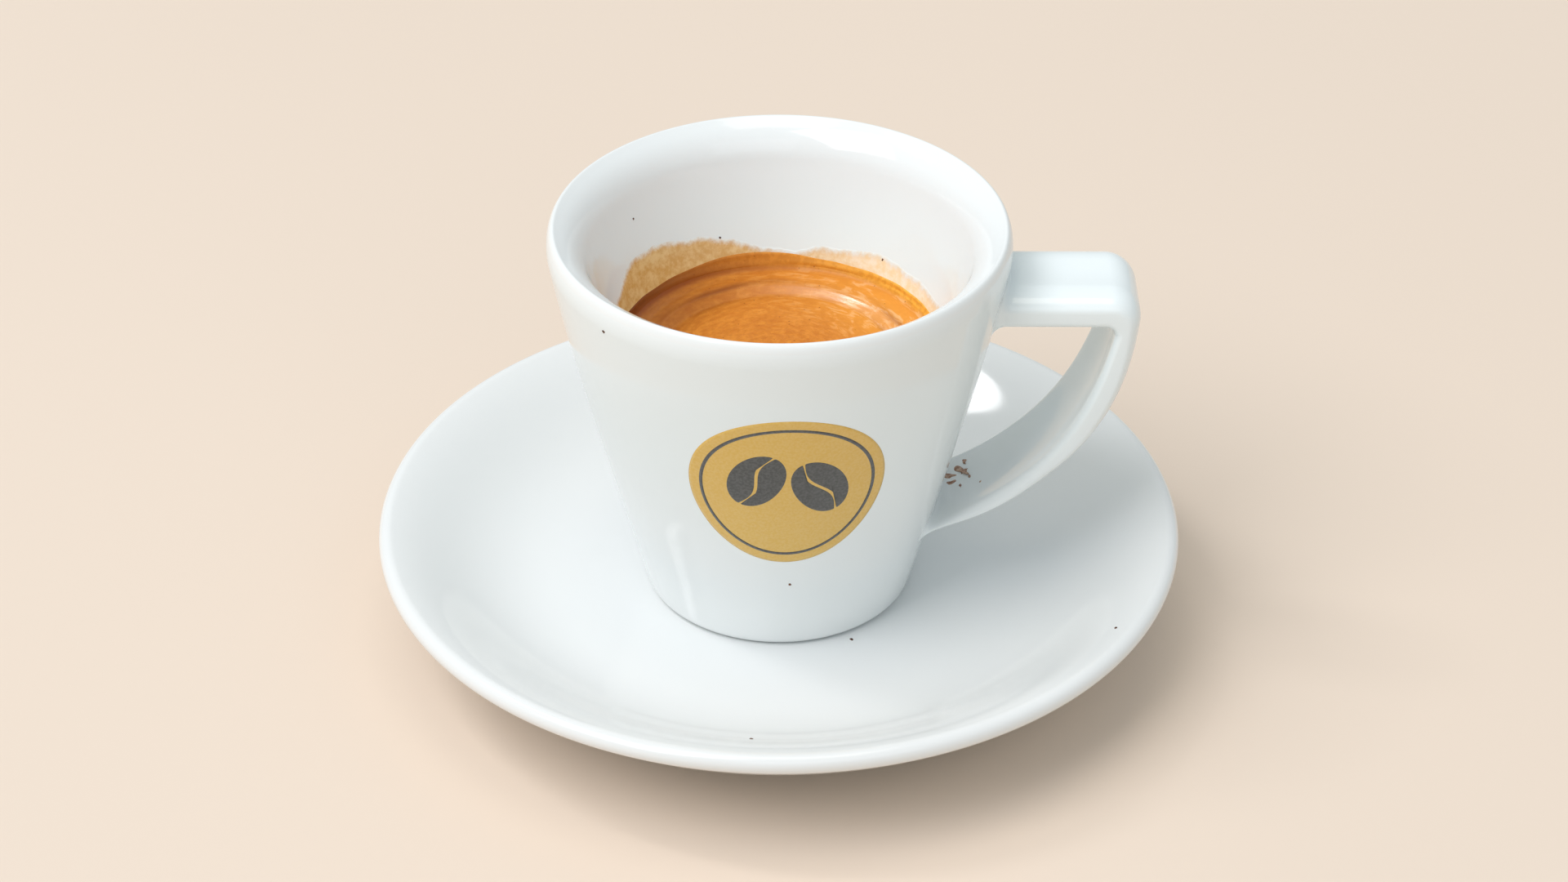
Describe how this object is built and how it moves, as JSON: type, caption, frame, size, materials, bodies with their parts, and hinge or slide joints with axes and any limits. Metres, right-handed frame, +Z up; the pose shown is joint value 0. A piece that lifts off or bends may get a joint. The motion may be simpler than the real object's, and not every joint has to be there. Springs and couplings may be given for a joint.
{
  "type": "espresso shot",
  "caption": "Espresso with a tan crema in a thick-walled, tapered white porcelain cup with a square-shouldered strap handle, standing on its saucer.",
  "frame": {"origin": "middle of the saucer's foot, on the surface it stands on, below the cup's axis", "axes": "+Z up along the cup's axis; +X towards the handle; -Y towards the side with the badge"},
  "size_m": [0.12, 0.12, 0.0684],
  "materials": {
    "saucer_china": "gloss",
    "cup_china": "gloss",
    "crema": "liquid with a fine foam",
    "coffee_stain": "thin dried film",
    "badge_print": "satin print under glaze"
  },
  "bodies": {
    "root": {"saucer": "saucer_china", "cup": "cup_china", "espresso": "crema"}
  },
  "joints": []
}
